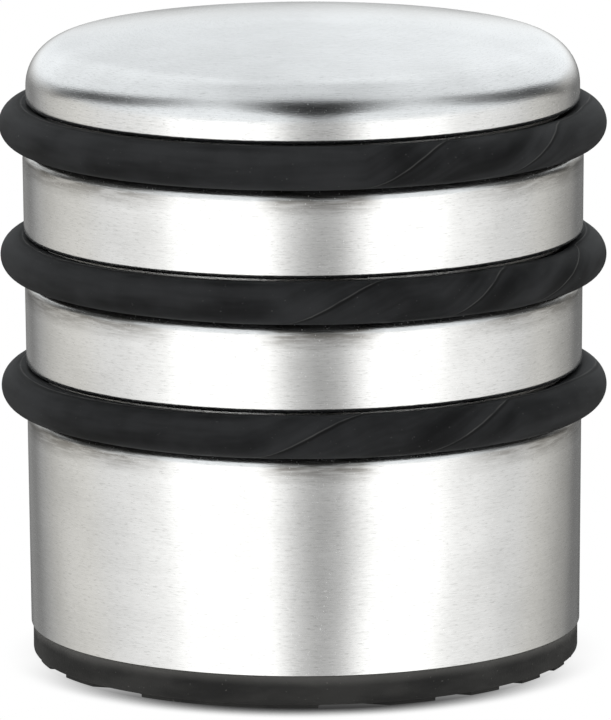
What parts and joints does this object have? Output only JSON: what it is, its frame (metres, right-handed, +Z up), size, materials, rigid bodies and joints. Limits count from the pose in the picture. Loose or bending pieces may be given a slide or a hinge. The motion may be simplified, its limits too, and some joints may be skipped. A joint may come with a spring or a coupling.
{
  "type": "door stop",
  "caption": "Free-standing weighted round door stop: brushed steel shell with a crowned top, black rubber bumper rings in rolled grooves and a ribbed rubber sole.",
  "frame": {"origin": "centre of the footprint, on the floor plane that the sole's ribs stand on", "axes": "+Z up along the stop's round axis, -Y towards the front, +X to the front's right; the sole's ribs run 17 degrees off X"},
  "size_m": [0.076, 0.076, 0.0802],
  "materials": {
    "brushed_shell": "brushed stainless, lines round the wall and in circles on the crown",
    "ring_rubber": "matte black rubber with fine twisted flash lines",
    "weight_iron": "raw sand casting",
    "mortar": "rough cement mortar",
    "plate_steel": "plain rolled sheet",
    "adhesive": "dark contact adhesive",
    "sole_rubber": "matte black ribbed rubber"
  },
  "bodies": {
    "root": {"shell": "brushed_shell", "ring_upper": "ring_rubber", "ring_middle": "ring_rubber", "ring_lower": "ring_rubber", "iron_weight": "weight_iron", "mortar_fill": "mortar", "base_plate": "plate_steel", "sole_adhesive": "adhesive", "rubber_sole": "sole_rubber"}
  },
  "joints": []
}
